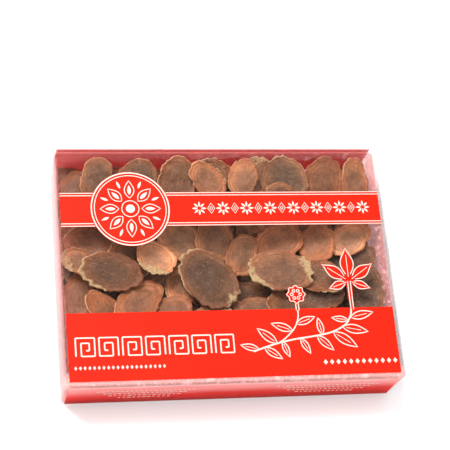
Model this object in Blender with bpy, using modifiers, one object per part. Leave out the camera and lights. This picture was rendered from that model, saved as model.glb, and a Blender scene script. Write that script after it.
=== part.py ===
"""A clear retail box packed with dried slices of ginseng root.

A pink-tinted plastic tray holds the slices in an open bag of thin clear film. A clear
lid goes over it down to the table. Red labels lie on the lid: a narrow band with a
round badge, a wide band with a leaf and a berry head rising from it, and a plain one
on the front and back walls. The slices lie loose: a heap of lower ones, and the upper
ones piled on it one by one.
Origin: middle of the underside. +X runs along the box, -Y is its front.
"""
import math
import random

import bmesh
import bpy
import numpy as np
from mathutils import Matrix, Vector

MM = 0.001

# Driving dimensions, in metres
BOX_LENGTH = 180 * MM
BOX_DEPTH = 133.2 * MM
BOX_HEIGHT = 31 * MM
WALL = 0.7 * MM
GAP = 0.3 * MM
LID_CORNER = 2.2 * MM
LID_EDGE = 0.8 * MM

TRAY_HEIGHT = 27 * MM
TRAY_CORNER = 1.6 * MM
TRAY_FOOT = 1.0 * MM

FILM = 0.3 * MM
BAG_TOP = 29.8 * MM
BAG_FLAP = 5 * MM
BAG_CORNER = 2 * MM

LABEL_THICKNESS = 0.4 * MM
LABEL_HALF_LENGTH = 87.5 * MM
NARROW_BAND = (20.5 * MM, 40.0 * MM)
WIDE_BAND = (-64.2 * MM, -27.5 * MM)
WALL_LABEL = (1.2 * MM, 28.6 * MM)
BADGE_CENTRE = (-50.3 * MM, 30.6 * MM)
BADGE_RADIUS = 21.3 * MM

LEAF_CENTRE = (65 * MM, -12.5 * MM)
LEAFLET_LENGTHS = (13 * MM, 18 * MM, 20 * MM, 18 * MM, 13 * MM)
LEAFLET_SLIMNESS = 0.2
LEAF_START = -20
LEAF_STEP = 55
BERRY_CENTRE = (35 * MM, -19.5 * MM)
BERRY_RADIUS = 5 * MM
BERRIES = 8
STEM_WIDTH = 2 * MM

SLICE_THICKNESS = 1.6 * MM
SLICE_SIDES = 16
HEAP_SIDES = 12
HEAP_SINK = 1.6 * MM
CORE_INSET = 9 * MM
# The packed middle of the heap: from and to as shares of the half depth, and its top
CORE_STEPS = ((-1.0, 1.0, 3.5 * MM), (0.5, 1.0, 10.5 * MM), (-1.0, -0.6, 10 * MM))
CELL = 0.6 * MM

# Heights and lengths that follow from them
LABEL_STAND = GAP + LABEL_THICKNESS / 2
TRAY_LENGTH = BOX_LENGTH - 2 * (WALL + GAP)
TRAY_DEPTH = BOX_DEPTH - 2 * (WALL + GAP)
ROOM_X = TRAY_LENGTH / 2 - WALL - 2 * GAP
ROOM_Y = TRAY_DEPTH / 2 - WALL - 2 * GAP
BAG_FLOOR = WALL + GAP
FLOOR = BAG_FLOOR + FILM + GAP

# The upper slices from the lowest up: middle x and y, length, width in mm,
# turn in degrees, lean as the rise per mm to the right and to the back
UPPER_SLICES = (
    (-76, -50, 27, 20, 20, 0, 0), (-52, -53, 26, 21, -30, 0, 0), (-30, -48, 28, 20, 60, 0, 0),
    (-7, -53, 27, 21, 10, 0, 0), (16, -50, 26, 22, -50, 0, 0), (40, -52, 28, 20, 15, 0, 0),
    (64, -50, 27, 21, 80, 0, 0), (79, -44, 25, 18, 95, 0, 0),
    (-78, 50, 23, 16, 70, 0.35, 0), (77, 6, 34, 24, 10, 0.25, 0), (-80, 15, 22, 18, 80, 0.1, 0),
    (79, -15, 31, 20, 80, 0.35, 0), (-79, -13, 30, 18, 80, 0.2, 0), (16, -23, 24, 20, 20, 0, 0),
    (34, -22, 25, 20, -20, 0, 0), (-8, -28, 28, 20, 10, 0, 0), (-65, -21, 26, 17, -55, 0, 0),
    (52, -16, 27, 19, 5, 0, 0), (-71, 17, 27, 21, -15, 0, 0), (-79, 6, 20, 13, -30, 0, 0.1),
    (60, 41, 25, 18, 0, 0, 0.1), (-3, 62, 24, 21, 10, 0, 0.6), (22, 62, 22, 21, 20, 0, 0.5),
    (-44, 59, 25, 23, 50, 0, 0.5), (-65, 59, 27, 20, 95, 0, 0.45), (-22, 59, 26, 22, 80, 0, 0.5),
    (61, 59, 28, 23, 75, 0, 0.45), (79, 57, 28, 17, 95, -0.2, 0.4), (38, 55, 27, 24, 0, 0, 0.4),
    (-5, 51, 24, 16, -32, 0, 0.3), (14, 51, 22, 17, 70, 0, 0.12), (35, 42, 17, 14, 0, 0, 0.2),
    (-22, 19, 27, 20, -45, 0, 0), (-3, 18, 27, 22, 80, 0, 0), (72, 17, 27, 18, 20, 0.12, 0),
    (54, 15, 24, 20, 80, 0, 0), (33, 17, 27, 23, 25, 0, 0), (12, 10, 25, 17, 72, 0, 0),
    (-22, -7, 24, 18, 70, 0, 0), (-50, 8, 25, 19, -15, 0, 0), (-32, -24, 28, 21, 25, 0, 0),
    (53, -6, 26, 21, -10, 0, 0), (-8, -5, 38, 27, -48, 0, 0.05), (-47, -17, 34, 20, 42, 0, 0),
    (-61, -1, 36, 20, -8, 0, 0), (-37, 6, 24, 18, -28, 0, 0.05), (31, -2, 37, 23, -10, 0, 0.05),
)
WAVE = (0.2 * MM, 0.7 * MM)
CUP = (-0.5 * MM, 1.3 * MM)
TILT_REACH = 0.26
LEAN_PLAY = 0.1
TILT_STEPS = 9


def make_material(name, colour, roughness, alpha=1.0):
    """One Principled finish."""
    material = bpy.data.materials.new(name)
    material.use_nodes = True
    shader = material.node_tree.nodes["Principled BSDF"]
    shader.inputs["Base Color"].default_value = (*colour, 1.0)
    shader.inputs["Roughness"].default_value = roughness
    shader.inputs["Metallic"].default_value = 0.0
    shader.inputs["Alpha"].default_value = alpha
    return material


def add_object(name, data, material, collection):
    """An object of the assembly with its finish."""
    data.materials.append(material)
    thing = bpy.data.objects.new(name, data)
    collection.objects.link(thing)
    return thing


def bevel_edges(bm, chosen, width, segments):
    """Round the edges that the test picks."""
    edges = [edge for edge in bm.edges if chosen(edge)]
    bmesh.ops.bevel(bm, geom=edges, offset=width, offset_type="OFFSET", segments=segments,
                    profile=0.5, affect="EDGES", clamp_overlap=True)


def is_upright(edge):
    """True for an edge that runs along Z."""
    return abs(edge.verts[0].co.z - edge.verts[1].co.z) > GAP


def plain_box(length, depth, low, high):
    """A sharp-edged box, centred on the origin's vertical."""
    bm = bmesh.new()
    middle = Matrix.Translation((0, 0, (low + high) / 2))
    size = Matrix.Diagonal((length, depth, high - low, 1))
    bmesh.ops.create_cube(bm, size=1.0, matrix=middle @ size)
    return bm


def open_box(length, depth, low, high, open_side, corner, edge):
    """A box of sheet with its top (1) or bottom (-1) left out, round at its corners."""
    bm = plain_box(length, depth, low, high)
    lost = [face for face in bm.faces if face.normal.z * open_side > 0.5]
    bmesh.ops.delete(bm, geom=lost, context="FACES_ONLY")
    bevel_edges(bm, is_upright, corner, 4)
    bevel_edges(bm, lambda e: not is_upright(e) and len(e.link_faces) == 2, edge, 2)
    return bm


def thicken(thing, thickness):
    """Give a sheet its wall, on the side away from its faces."""
    solidify = thing.modifiers.new("Wall", "SOLIDIFY")
    solidify.thickness = thickness
    solidify.offset = -1.0
    solidify.use_even_offset = True


def mesh_of(bm, name):
    """Turn the working mesh into mesh data."""
    mesh = bpy.data.meshes.new(name)
    bm.to_mesh(mesh)
    bm.free()
    return mesh


def build_lid(material, collection):
    """The clear lid, open below, which covers the whole tray."""
    bm = open_box(BOX_LENGTH, BOX_DEPTH, 0, BOX_HEIGHT, -1, LID_CORNER, LID_EDGE)
    thicken(add_object("lid", mesh_of(bm, "lid"), material, collection), WALL)


def build_tray(material, collection):
    """The tinted tray, open above, which the lid slides over."""
    bm = open_box(TRAY_LENGTH, TRAY_DEPTH, 0, TRAY_HEIGHT, 1, TRAY_CORNER, TRAY_FOOT)
    thicken(add_object("tray", mesh_of(bm, "tray"), material, collection), WALL)


def build_bag(material, collection):
    """The film round the slices: floor, walls, and a flap folded in over their edge."""
    taken = 2 * (WALL + GAP)
    bm = plain_box(TRAY_LENGTH - taken, TRAY_DEPTH - taken, BAG_FLOOR, BAG_TOP)
    top = max(bm.faces, key=lambda face: face.calc_center_median().z)
    bmesh.ops.inset_region(bm, faces=[top], thickness=BAG_FLAP, use_even_offset=True)
    bmesh.ops.delete(bm, geom=[top], context="FACES_ONLY")
    bevel_edges(bm, is_upright, BAG_CORNER, 4)
    thicken(add_object("film_bag", mesh_of(bm, "film_bag"), material, collection), FILM)


def arc(centre, radius, start, end, count):
    """Points on a round stretch, angles in radians."""
    turns = [start + (end - start) * i / (count - 1) for i in range(count)]
    return [(centre[0] + radius * math.cos(t), centre[1] + radius * math.sin(t)) for t in turns]


def build_label(name, outline, material, collection):
    """A flat label cut to an outline, lying on the lid."""
    data = bpy.data.curves.new(name, "CURVE")
    data.dimensions = "2D"
    data.fill_mode = "BOTH"
    data.extrude = LABEL_THICKNESS / 2
    spline = data.splines.new("POLY")
    spline.points.add(len(outline) - 1)
    for point, (x, y) in zip(spline.points, outline):
        point.co = (x, y, 0, 1)
    spline.use_cyclic_u = True
    label = add_object(name, data, material, collection)
    label.location.z = BOX_HEIGHT + LABEL_STAND
    return label


def build_wall_label(name, side, material, collection):
    """A plain label on the front or the back wall of the lid."""
    low, high = WALL_LABEL
    right = [(LABEL_HALF_LENGTH, low), (LABEL_HALF_LENGTH, high)]
    corners = right + [(-x, y) for x, y in reversed(right)]
    label = build_label(name, corners, material, collection)
    label.rotation_euler.x = math.pi / 2
    label.location = (0, side * (BOX_DEPTH / 2 + LABEL_STAND), 0)


def narrow_outline():
    """The narrow band, with the round badge standing past both its edges."""
    low, high = NARROW_BAND
    top = math.asin((high - BADGE_CENTRE[1]) / BADGE_RADIUS)
    bottom = math.asin((low - BADGE_CENTRE[1]) / BADGE_RADIUS)
    over = arc(BADGE_CENTRE, BADGE_RADIUS, top, math.pi - top, 19)
    under = arc(BADGE_CENTRE, BADGE_RADIUS, math.pi - bottom, 2 * math.pi + bottom, 19)
    right = [(LABEL_HALF_LENGTH, low), (LABEL_HALF_LENGTH, high)]
    left = [(-LABEL_HALF_LENGTH, high), (-LABEL_HALF_LENGTH, low)]
    return right + over + left + under


def leaflet(centre, degrees, length):
    """One pointed leaflet, from its base round its tip and back to its base."""
    angle = math.radians(degrees)
    along = Vector((math.cos(angle), math.sin(angle))) * length
    across = Vector((math.sin(angle), -math.cos(angle))) * length * LEAFLET_SLIMNESS
    shares = [0.15 + 0.14 * i for i in range(6)]
    near = [Vector(centre) + along * t + across * math.sin(math.pi * t) ** 1.6 for t in shares]
    far = [Vector(centre) + along * t - across * math.sin(math.pi * t) ** 1.6 for t in reversed(shares)]
    return [tuple(point) for point in near + [Vector(centre) + along] + far]


def stem_foot(centre, side):
    """Where a stem meets the wide band's edge."""
    return [(centre[0] + side * STEM_WIDTH / 2, WIDE_BAND[1])]


def leaf_outline():
    """A leaf of five leaflets on its stem."""
    points = stem_foot(LEAF_CENTRE, 1)
    for index, length in enumerate(LEAFLET_LENGTHS):
        points += leaflet(LEAF_CENTRE, LEAF_START + LEAF_STEP * index, length)
    return points + stem_foot(LEAF_CENTRE, -1)


def berry_outline():
    """A round head of berries on its stem."""
    start = math.asin(STEM_WIDTH / 2 / BERRY_RADIUS) - math.pi / 2
    points = stem_foot(BERRY_CENTRE, 1)
    count = 4 * BERRIES + 1
    for i in range(count):
        angle = start + (math.pi - 2 * start) * i / (count - 1)
        reach = BERRY_RADIUS * (1 + 0.1 * math.cos(BERRIES * (angle - math.pi / 2)))
        points.append((BERRY_CENTRE[0] + reach * math.cos(angle), BERRY_CENTRE[1] + reach * math.sin(angle)))
    return points + stem_foot(BERRY_CENTRE, -1)


def wide_outline():
    """The wide band, with the leaf and the berry head standing on its edge."""
    low, high = WIDE_BAND
    right = [(LABEL_HALF_LENGTH, low), (LABEL_HALF_LENGTH, high)]
    left = [(-LABEL_HALF_LENGTH, high), (-LABEL_HALF_LENGTH, low)]
    return right + leaf_outline() + berry_outline() + left


class Slice:
    """One cross slice of the root: an uneven oval, cupped and waved like a chip."""

    def __init__(self, x, y, length, width, turn, lean, seed):
        draw = random.Random(seed)
        self.x, self.y = x * MM, y * MM
        self.half = (length * MM / 2, width * MM / 2)
        self.turn = math.radians(turn)
        self.lean = lean
        self.bumps = [(n, draw.uniform(0.3, 1) * 0.11 / n, draw.uniform(0, math.tau)) for n in (2, 3, 5)]
        self.cup = draw.uniform(*CUP)
        self.wave = draw.uniform(*WAVE)
        self.wave_turn = draw.uniform(0, math.tau)
        self.slope = (0.0, 0.0)
        self.level = 0.0
        self.keep_inside()

    def edge(self, angle):
        """Reach of the outline at an angle, 1 on the plain oval."""
        return 1 + sum(size * np.cos(n * angle + start) for n, size, start in self.bumps)

    def keep_inside(self):
        """Move the slice so that its outline stays clear of the tray's walls."""
        angles = np.linspace(0, math.tau, 73)
        x, y = self.place(angles, 1.0)
        over = 0.6 * MM
        self.x -= max(0.0, x.max() + over - ROOM_X) + min(0.0, x.min() - over + ROOM_X)
        self.y -= max(0.0, y.max() + over - ROOM_Y) + min(0.0, y.min() - over + ROOM_Y)

    def place(self, angle, share):
        """World x and y of a point at an angle and a share of the way to the edge."""
        reach = self.edge(angle) * share
        along = self.half[0] * reach * np.cos(angle)
        across = self.half[1] * reach * np.sin(angle)
        c, s = math.cos(self.turn), math.sin(self.turn)
        return self.x + along * c - across * s, self.y + along * s + across * c

    def polar(self, x, y):
        """Angle and share of the way to the edge of a world point."""
        c, s = math.cos(self.turn), math.sin(self.turn)
        dx, dy = x - self.x, y - self.y
        along = (dx * c + dy * s) / self.half[0]
        across = (dy * c - dx * s) / self.half[1]
        angle = np.arctan2(across, along)
        return angle, np.hypot(along, across) / self.edge(angle)

    def bend(self, angle, share):
        """Height of the cupped and waved middle layer over its plane."""
        dish = np.interp(share, (0, 0.5, 1, 1.2), (0, 0.25, 1, 1.5))
        return dish * (self.cup + self.wave * np.cos(2 * angle + self.wave_turn))


class Bed:
    """Heights of what lies in the tray so far, on a square grid."""

    def __init__(self):
        xs = np.arange(-ROOM_X, ROOM_X, CELL)
        ys = np.arange(-ROOM_Y, ROOM_Y, CELL)
        self.x, self.y = np.meshgrid(xs, ys)
        self.top = np.full(self.x.shape, FLOOR)

    def raise_block(self, half_x, low_y, high_y, top):
        """Note a flat block, centred along the box."""
        inside = (abs(self.x) < half_x) & (self.y > low_y) & (self.y < high_y)
        self.top[inside] = np.maximum(self.top[inside], top)

    def lay(self, piece, sink):
        """Let a slice down on the bed, tilted so that its middle comes to rest lowest."""
        near = 0.7 * MM / min(piece.half)
        under = piece.polar(self.x, self.y)[1] < 1 + near
        x, y, top = self.x[under], self.y[under], self.top[under]
        bend = piece.bend(*piece.polar(x, y))
        best = None
        play = np.linspace(-1, 1, TILT_STEPS) * (LEAN_PLAY if any(piece.lean) else TILT_REACH)
        for rise_x in play + piece.lean[0]:
            for rise_y in play + piece.lean[1]:
                plane = rise_x * (x - piece.x) + rise_y * (y - piece.y)
                half_wall = SLICE_THICKNESS / 2 * math.sqrt(1 + rise_x ** 2 + rise_y ** 2)
                level = float((top - plane - bend).max()) + half_wall - sink
                if best is None or level < best[0]:
                    best = (level, (rise_x, rise_y), plane + bend + level + half_wall)
        piece.level, piece.slope, surface = best
        self.top[under] = np.maximum(top, surface)


def slice_mesh(name, piece, sides, rings):
    """The slice's middle layer, in rings round its pith."""
    bm = bmesh.new()
    bmesh.ops.create_circle(bm, cap_ends=True, cap_tris=True, segments=sides, radius=1.0)
    if rings > 1:
        spokes = [e for e in bm.edges if any(v.co.length < 0.5 for v in e.verts)]
        bmesh.ops.subdivide_edges(bm, edges=spokes, cuts=rings - 1)
    for vert in bm.verts:
        angle = math.atan2(vert.co.y, vert.co.x)
        share = min(1.0, round(vert.co.length * rings) / rings)
        x, y = piece.place(angle, share)
        plane = piece.slope[0] * (x - piece.x) + piece.slope[1] * (y - piece.y)
        vert.co = (x, y, piece.level + plane + piece.bend(angle, share))
    return mesh_of(bm, name)


def slice_object(name, piece, sides, rings, material, collection):
    """A slice as an object, with its thickness on both sides of its middle layer."""
    thing = add_object(name, slice_mesh(name, piece, sides, rings), material, collection)
    solidify = thing.modifiers.new("Thickness", "SOLIDIFY")
    solidify.thickness = SLICE_THICKNESS
    solidify.offset = 0.0
    return thing


def heap_places():
    """Rows of slices over the whole tray, shifted from their places by a seeded draw."""
    draw = random.Random(41)
    columns, rows = 8, 6
    places = []
    for row in range(rows):
        for column in range(columns):
            x = (column + 0.5 + draw.uniform(-0.2, 0.2)) / columns * 2 - 1
            y = (row + 0.5 + draw.uniform(-0.2, 0.2)) / rows * 2 - 1
            size = draw.uniform(24, 31)
            width = size * draw.uniform(0.7, 0.9)
            places.append((x * ROOM_X / MM, y * ROOM_Y / MM, size, width, draw.uniform(0, 180)))
    draw.shuffle(places)
    return places


def keep_largest_shell(mesh):
    """Fill pockets that fusing closed off, and drop loose scraps."""
    bm = bmesh.new()
    bm.from_mesh(mesh)
    bmesh.ops.remove_doubles(bm, verts=bm.verts, dist=0.00001)
    bmesh.ops.triangulate(bm, faces=bm.faces)
    left = set(bm.faces)
    shells = []
    while left:
        shell, waiting = set(), [left.pop()]
        while waiting:
            face = waiting.pop()
            shell.add(face)
            for other in (f for e in face.edges for f in e.link_faces if f in left):
                left.discard(other)
                waiting.append(other)
        shells.append(shell)
    shells.sort(key=len)
    lost = [face for shell in shells[:-1] for face in shell]
    bmesh.ops.delete(bm, geom=lost, context="FACES")
    bm.to_mesh(mesh)
    bm.free()


def core_block(bed, start, end, top, trim):
    """One step of the packed middle, trimmed all round so that no two steps share a face."""
    half_x, half_y = ROOM_X - CORE_INSET, ROOM_Y - CORE_INSET
    low_y, high_y = start * half_y, end * half_y
    bed.raise_block(half_x, low_y, high_y, top)
    bm = bmesh.new()
    middle = Matrix.Translation((0, (low_y + high_y) / 2, (FLOOR + top) / 2))
    size = Matrix.Diagonal((2 * (half_x - trim), high_y - low_y - 2 * trim, top - FLOOR - 2 * trim, 1))
    bmesh.ops.create_cube(bm, size=1.0, matrix=middle @ size)
    return mesh_of(bm, "core")


def build_heap(bed, material, collection):
    """The lower slices, fused to each other and to the packed middle of the heap."""
    cutters = bpy.data.collections.new("Joined slices")
    bpy.context.scene.collection.children.link(cutters)
    heap = add_object("lower_slices", core_block(bed, *CORE_STEPS[0], 0), material, collection)
    for index, step in enumerate(CORE_STEPS[1:], 1):
        add_object(f"joined_core_{index}", core_block(bed, *step, index * GAP), material, cutters)
    for index, place in enumerate(heap_places()):
        piece = Slice(*place, (0, 0), 300 + index)
        bed.lay(piece, HEAP_SINK)
        slice_object(f"joined_{index}", piece, HEAP_SIDES, 1, material, cutters)
    union = heap.modifiers.new("Join", "BOOLEAN")
    union.operation = "UNION"
    union.operand_type = "COLLECTION"
    union.collection = cutters
    union.solver = "EXACT"
    joined = bpy.data.meshes.new_from_object(heap.evaluated_get(bpy.context.evaluated_depsgraph_get()))
    heap.modifiers.clear()
    heap.data = joined
    keep_largest_shell(joined)
    for part in list(cutters.objects):
        bpy.data.objects.remove(part)
    bpy.data.collections.remove(cutters)


def build_upper(bed, material, collection):
    """The upper slices, each piled on what lies below it."""
    for index, (x, y, length, width, turn, lean_x, lean_y) in enumerate(UPPER_SLICES, 1):
        piece = Slice(x, y, length, width, turn, (lean_x, lean_y), index)
        bed.lay(piece, -GAP)
        slice_object(f"slice_{index:02d}", piece, SLICE_SIDES, 2, material, collection)


for old in list(bpy.data.objects):
    bpy.data.objects.remove(old)

box = bpy.data.collections.new("Box of ginseng slices")
bpy.context.scene.collection.children.link(box)

clear_plastic = make_material("Clear plastic", (0.93, 0.95, 0.95), 0.08, alpha=0.2)
clear_film = make_material("Clear film", (0.95, 0.9, 0.9), 0.12, alpha=0.15)
pink_plastic = make_material("Pink plastic", (0.9, 0.45, 0.42), 0.15, alpha=0.35)
red_ink = make_material("Red print", (0.95, 0.05, 0.02), 0.35)
dried_root = make_material("Dried root", (0.27, 0.15, 0.09), 0.45)

build_tray(pink_plastic, box)
build_bag(clear_film, box)
build_lid(clear_plastic, box)
build_label("narrow_band", narrow_outline(), red_ink, box)
build_label("wide_band", wide_outline(), red_ink, box)
build_wall_label("front_label", -1, red_ink, box)
build_wall_label("back_label", 1, red_ink, box)
heap_bed = Bed()
build_heap(heap_bed, dried_root, box)
build_upper(heap_bed, dried_root, box)
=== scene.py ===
"""The looks of a clear retail box packed with dried slices of ginseng root.

The box is followed as it is packed: the stage, the pink tray, the film bag, the loose
slices from below up, the clear lid over them, and the print on the lid.
"""

import math
import random

import bmesh
import bpy
import numpy as np
from mathutils import Matrix, Vector, noise


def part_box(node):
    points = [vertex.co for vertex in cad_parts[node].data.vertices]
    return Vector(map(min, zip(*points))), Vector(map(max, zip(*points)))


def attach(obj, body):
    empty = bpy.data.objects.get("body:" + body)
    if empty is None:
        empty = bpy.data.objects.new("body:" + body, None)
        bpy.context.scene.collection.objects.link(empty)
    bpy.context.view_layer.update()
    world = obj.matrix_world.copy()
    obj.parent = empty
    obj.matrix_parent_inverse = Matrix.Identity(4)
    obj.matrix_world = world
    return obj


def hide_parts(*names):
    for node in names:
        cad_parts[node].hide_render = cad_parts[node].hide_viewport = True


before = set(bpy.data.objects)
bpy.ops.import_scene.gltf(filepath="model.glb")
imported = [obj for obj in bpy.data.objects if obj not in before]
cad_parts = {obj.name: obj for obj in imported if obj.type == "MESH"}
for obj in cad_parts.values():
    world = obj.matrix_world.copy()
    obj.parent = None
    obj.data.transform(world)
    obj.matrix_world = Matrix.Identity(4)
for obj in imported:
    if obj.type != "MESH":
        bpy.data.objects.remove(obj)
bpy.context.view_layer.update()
MM = 0.001

# The stage: a white table under a white studio, with one large soft lamp from the back left.
# The camera looks down on the front left corner, turned so that the box lies level.
CAMERA_AZIMUTH = math.radians(-29.11)
CAMERA_ELEVATION = math.radians(64.79)
CAMERA_ROLL = math.radians(26.15)
CAMERA_DISTANCE = 839.44 * MM
CAMERA_AIM = Vector((0.2, 20.75, 31)) * MM
LENS_SHARE = 1568.19 / 450
TABLE_SIZE = 6.0
WORLD_STRENGTH = 0.82
# Lamps: name, place in metres, side and watts
LAMPS = (("key_lamp", (-0.35, 0.4, 0.8), 0.4, 13), ("top_lamp", (0.05, -0.1, 1.3), 1.5, 8))
FILM_LAYERS_SEEN = 32


class Wire:
    """A socket in a node tree. Arithmetic on it adds Math nodes."""

    def __init__(self, tree, socket):
        self.tree, self.socket = tree, socket

    def other(self, name):
        """Another output of the same node."""
        return Wire(self.tree, self.socket.node.outputs[name])

    def math(self, operation, *values):
        """One Math node on this socket and more values."""
        inputs = dict(enumerate((self, *values)))
        return node(self.tree, "ShaderNodeMath", inputs, operation=operation)

    def __add__(self, value):
        return self.math("ADD", value)

    def __mul__(self, value):
        return self.math("MULTIPLY", value)

    def __sub__(self, value):
        return self.math("SUBTRACT", value)

    def __rsub__(self, value):
        return self * -1 + value

    def __truediv__(self, value):
        return self.math("DIVIDE", value)

    def __pow__(self, value):
        return self.math("POWER", value)

    __radd__ = __add__
    __rmul__ = __mul__

    def step(self, low, high):
        """0 below low, 1 above high, and smooth between them."""
        inputs = {"Value": self, "From Min": low, "From Max": high}
        return node(self.tree, "ShaderNodeMapRange", inputs, interpolation_type="SMOOTHSTEP")

    def parts(self):
        """The three numbers of a vector."""
        split = node(self.tree, "ShaderNodeSeparateXYZ", {"Vector": self})
        return split, split.other("Y"), split.other("Z")

    def line(self, middle, width):
        """1 on a line at the middle value, fading to 0 at its width on both sides."""
        return 1 - (self - middle).math("ABSOLUTE").step(0, width)


def node(tree, kind, inputs=None, out=0, **settings):
    """One node, with a value or a wire for each input named, and its settings."""
    made = tree.nodes.new(kind)
    for key, value in settings.items():
        setattr(made, key, value)
    for key, value in (inputs or {}).items():
        if isinstance(value, Wire):
            tree.links.new(value.socket, made.inputs[key])
        else:
            made.inputs[key].default_value = value
    return Wire(tree, made.outputs[out])


def new_tree(name):
    """A material and its emptied node tree."""
    material = bpy.data.materials.new(name)
    material.use_nodes = True
    material.node_tree.nodes.clear()
    return material, material.node_tree


def show(tree, shader):
    """Send a shader to the material's surface."""
    node_out = tree.nodes.new("ShaderNodeOutputMaterial")
    tree.links.new(shader.socket, node_out.inputs["Surface"])


def blend(tree, share, first, second, kind="MIX"):
    """A colour between two, or the two put together another way."""
    inputs = {0: share, 6: first, 7: second}
    return node(tree, "ShaderNodeMix", inputs, 2, data_type="RGBA", blend_type=kind)


def object_place(tree):
    """Where a point is in the piece's own frame."""
    return node(tree, "ShaderNodeTexCoord").other("Object")


def cloud(tree, scale, detail=3.0, place=None, roughness=0.5):
    """A soft noise from 0 to 1, on Object coordinates unless given others."""
    place = place or object_place(tree)
    inputs = {"Vector": place, "Scale": scale, "Detail": detail, "Roughness": roughness}
    return node(tree, "ShaderNodeTexNoise", inputs)


def principled(tree, **inputs):
    """A Principled shader; an input's name is written with underscores."""
    named = {key.replace("_", " "): value for key, value in inputs.items()}
    return node(tree, "ShaderNodeBsdfPrincipled", named)


def relief(tree, height, strength, distance):
    """A bumped normal from a height."""
    inputs = {"Height": height, "Strength": strength, "Distance": distance}
    return node(tree, "ShaderNodeBump", inputs)


def stand(name, data):
    """A new object in the scene."""
    made = bpy.data.objects.new(name, data)
    bpy.context.scene.collection.objects.link(made)
    return made


def mesh_of(bm, name):
    """The mesh that a bmesh has become."""
    mesh = bpy.data.meshes.new(name)
    bm.to_mesh(mesh)
    bm.free()
    return mesh


def add_piece(name, mesh, material, slot, *nodes):
    """A finished piece of the object, which stands for the CAD nodes named, if any."""
    mesh.materials.clear()
    mesh.materials.append(material)
    piece = stand(name, mesh)
    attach(piece, "root")
    if nodes:
        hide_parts(*nodes)
    return piece


def add_camera():
    """The camera at the photograph's place, with a square picture's lens."""
    lens = bpy.data.cameras.new("camera")
    lens.sensor_width = 36
    lens.lens = LENS_SHARE * lens.sensor_width
    lens.clip_start = 0.01
    right = Vector((math.cos(CAMERA_AZIMUTH), math.sin(CAMERA_AZIMUTH), 0))
    ahead = Vector((-right.y, right.x, 0))
    back = ahead * -math.cos(CAMERA_ELEVATION) + Vector((0, 0, math.sin(CAMERA_ELEVATION)))
    level = Matrix((right, back.cross(right), back)).transposed()
    camera = stand("camera", lens)
    camera.matrix_world = (Matrix.Translation(CAMERA_AIM + back * CAMERA_DISTANCE)
                           @ (level @ Matrix.Rotation(CAMERA_ROLL, 3, "Z")).to_4x4())
    bpy.context.scene.camera = camera


def add_lamp(name, place, size, power):
    """A square soft lamp that faces the middle of the box."""
    light = bpy.data.lights.new(name, "AREA")
    light.size = size
    light.energy = power
    lamp = stand(name, light)
    lamp.location = place
    lamp.rotation_euler = (-Vector(place)).to_track_quat("-Z", "Y").to_euler()


def add_world():
    """Even white light from all round."""
    world = bpy.data.worlds.new("studio")
    world.use_nodes = True
    light = world.node_tree.nodes["Background"].inputs
    light["Color"].default_value = (1, 1, 1, 1)
    light["Strength"].default_value = WORLD_STRENGTH
    bpy.context.scene.world = world


def add_table():
    """The white table top."""
    material, tree = new_tree("white_table")
    grain = cloud(tree, 40)
    tint = blend(tree, grain, (0.93, 0.93, 0.93, 1), (0.95, 0.95, 0.95, 1))
    show(tree, principled(tree, Base_Color=tint, Roughness=0.8))
    bm = bmesh.new()
    bmesh.ops.create_grid(bm, x_segments=4, y_segments=4, size=TABLE_SIZE / 2)
    table = stand("table", mesh_of(bm, "table"))
    table.data.materials.append(material)


add_camera()
add_table()
add_world()
for lamp in LAMPS:
    add_lamp(*lamp)
bpy.context.scene.view_settings.view_transform = "Standard"
bpy.context.scene.cycles.transparent_max_bounces = FILM_LAYERS_SEEN

# The tray: a shallow box of pink-tinted plastic sheet, formed in one piece, which holds
# the bag. Its shape is the CAD node's, with its rounded corners shaded smooth.
SMOOTH_UP_TO = math.radians(35)
# Where film lies against the clear sheet: low and high ends of each fade
FILM_FRONT = (-66 * MM, -56 * MM)
FILM_BACK = (10 * MM, 55 * MM)
FILM_SIDE = (-88 * MM, 88 * MM)
FILM_HEIGHT = (22 * MM, 29 * MM)
# Pale pink for the painted light at the front, where the print shades the film
FRONT_FILM_PAINTED_LIGHT = (1, 0.56, 0.52, 1)


def merged_copy(name, cad_node):
    """A CAD node's mesh with its corners joined and its round stretches smooth."""
    bm = bmesh.new()
    bm.from_mesh(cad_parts[cad_node].data)
    bmesh.ops.remove_doubles(bm, verts=bm.verts, dist=0.01 * MM)
    mesh = mesh_of(bm, name)
    mesh.shade_smooth()
    mesh.set_sharp_from_angle(angle=SMOOTH_UP_TO)
    return mesh


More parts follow.
